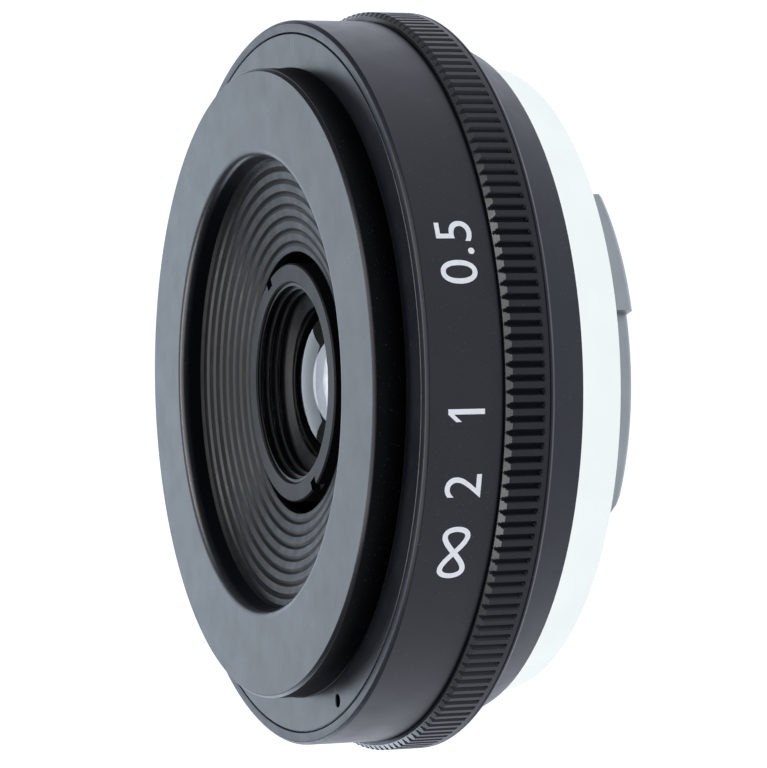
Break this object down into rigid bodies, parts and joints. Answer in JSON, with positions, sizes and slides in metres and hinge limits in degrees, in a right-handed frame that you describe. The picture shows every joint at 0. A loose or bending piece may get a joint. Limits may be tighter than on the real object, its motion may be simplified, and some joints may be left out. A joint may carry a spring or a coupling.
{
  "type": "camera lens",
  "caption": "Slim prime lens: flat black front with a ringed cone round small glass, ribbed focus ring, silver mount ring and clawed bayonet.",
  "frame": {"origin": "centre of the bayonet in the plane of the mount flange face", "axes": "+Z along the optical axis towards the front of the lens; +X and +Y across it, with the index dot on +Y"},
  "size_m": [0.0666, 0.0666, 0.027],
  "materials": {
    "bezel_black": "satin black anodised",
    "ring_black": "satin black anodised, ribbed",
    "housing_black": "satin black anodised",
    "inner_black": "matte black",
    "cell_black": "satin black",
    "silver": "satin anodised",
    "mount_grey": "satin plated",
    "sleeve_alloy": "machined",
    "slip_plastic": "natural",
    "screw_steel": "machined",
    "roller_brass": "machined",
    "lens_glass": "coated",
    "mark_paint": "paint"
  },
  "bodies": {
    "housing": {"front_bezel": "bezel_black", "front_barrel": "bezel_black", "rear_housing": "housing_black", "baffle_cone": "inner_black", "baffle_retainer": "inner_black", "rear_baffle": "inner_black", "guide_tube": "inner_black", "mount_ring": "silver", "bayonet": "mount_grey", "flange_shim": "sleeve_alloy", "spring_washer": "sleeve_alloy", "slip_ring": "slip_plastic", "barrel_screws": "screw_steel", "mount_screws": "screw_steel", "guide_screws": "screw_steel", "index_dot": "mark_paint"},
    "focus": {"focus_ring": "ring_black", "cam_sleeve": "sleeve_alloy", "cam_screws": "screw_steel", "focus_stop_pin": "screw_steel"},
    "optics": {"optic_carriage": "inner_black", "follower_pins": "screw_steel", "follower_rollers": "roller_brass", "front_cell": "cell_black", "stepped_hood": "inner_black", "front_element": "lens_glass", "front_spacer": "inner_black", "second_element": "lens_glass", "aperture_plate": "inner_black", "third_element": "lens_glass", "fourth_element": "lens_glass", "rear_retainer": "inner_black"}
  },
  "joints": [
    {"name": "focus_turn", "type": "hinge", "parent": "housing", "child": "focus", "pos_m": [0, 0, 0], "axis": [0, 0, 1], "range_deg": [0, 90]},
    {"name": "optics_lift", "type": "slide", "parent": "housing", "child": "optics", "axis": [0, 0, 1], "range_m": [0, 0.0021]}
  ],
  "couplings": [
    {"joint": "optics_lift", "follows": "focus_turn", "m_per_rad": 0.0013369}
  ]
}
